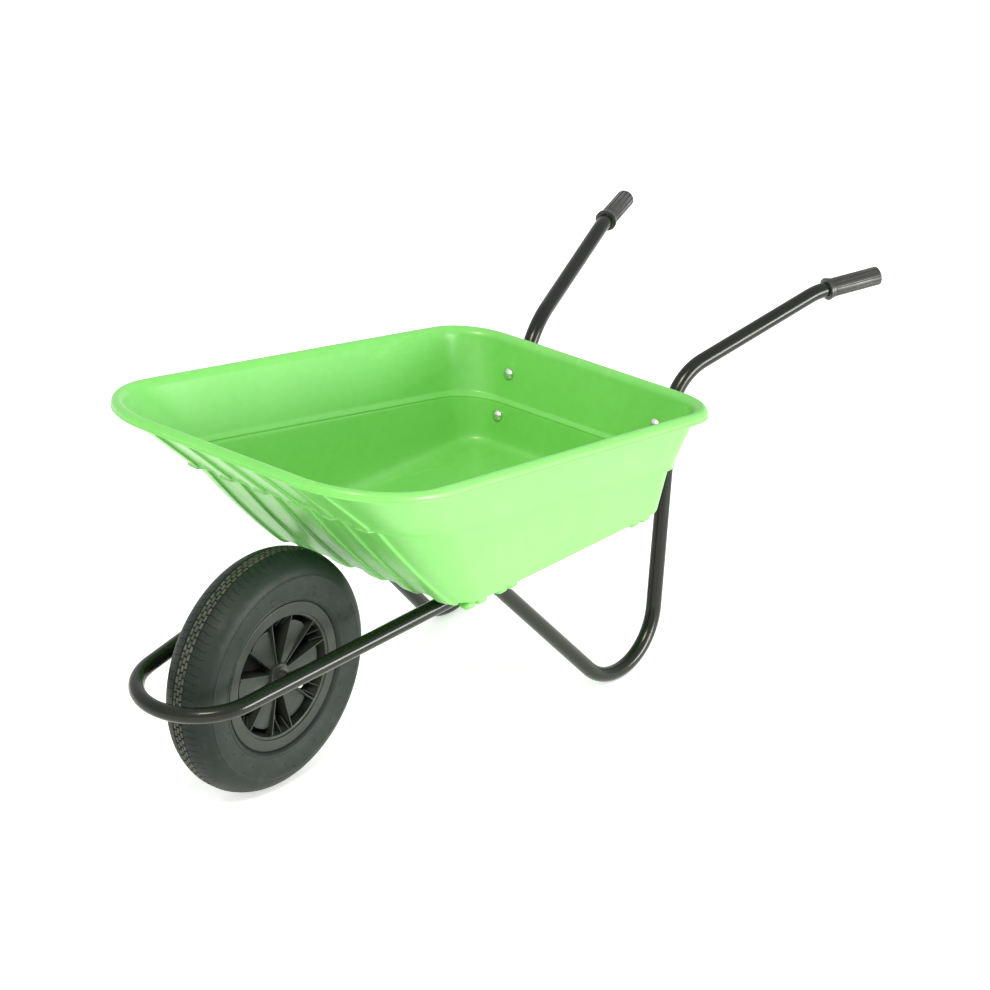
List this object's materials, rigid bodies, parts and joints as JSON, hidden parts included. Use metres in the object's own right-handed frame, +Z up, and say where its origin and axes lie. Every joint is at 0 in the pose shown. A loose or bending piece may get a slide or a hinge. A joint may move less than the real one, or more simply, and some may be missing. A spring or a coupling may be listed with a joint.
{
  "type": "wheelbarrow",
  "caption": "Wheelbarrow with a moulded plastic tub on a bent steel tube frame, and a pneumatic wheel that spins between the rails.",
  "frame": {"origin": "on the ground, under the middle of the bounding box", "axes": "+X forward to the wheel, +Y to the left, +Z up"},
  "size_m": [1.3929, 0.5972, 0.5712],
  "materials": {
    "tub_plastic": "moulded lime green, satin",
    "frame_paint": "gloss black paint",
    "zinc": "bright zinc plate",
    "grip_plastic": "soft black, fluted",
    "wheel_plastic": "moulded black, satin",
    "tyre_rubber": "black rubber",
    "tube_rubber": "black butyl",
    "bush_plastic": "black nylon",
    "axle_steel": "turned steel",
    "valve_rubber": "black rubber",
    "cap_plastic": "black cap"
  },
  "bodies": {
    "barrow": {"tub": "tub_plastic", "frame_loop": "frame_paint", "frame_side_left": "frame_paint", "frame_side_right": "frame_paint", "joint_sleeve_left": "axle_steel", "joint_sleeve_right": "axle_steel", "axle_bracket_left": "frame_paint", "axle_bracket_right": "frame_paint", "floor_strap": "frame_paint", "rear_brace": "frame_paint", "rear_tub_bolts": "zinc", "rear_tub_washers": "zinc", "rear_tub_nuts": "zinc", "floor_tub_bolts": "zinc", "floor_tub_nuts": "zinc", "grip_left": "grip_plastic", "grip_right": "grip_plastic", "axle": "axle_steel", "axle_spacers": "bush_plastic", "axle_washers": "frame_paint", "axle_nuts": "frame_paint"},
    "wheel": {"wheel_half_left": "wheel_plastic", "wheel_half_right": "wheel_plastic", "hub_bushes": "bush_plastic", "tyre": "tyre_rubber", "inner_tube": "tube_rubber", "valve_stem": "valve_rubber", "valve_cap": "cap_plastic"}
  },
  "joints": [
    {"name": "wheel_spin", "type": "hinge", "parent": "barrow", "child": "wheel", "pos_m": [0.4584, 0, 0.187], "axis": [0, 1, 0], "continuous": true}
  ]
}
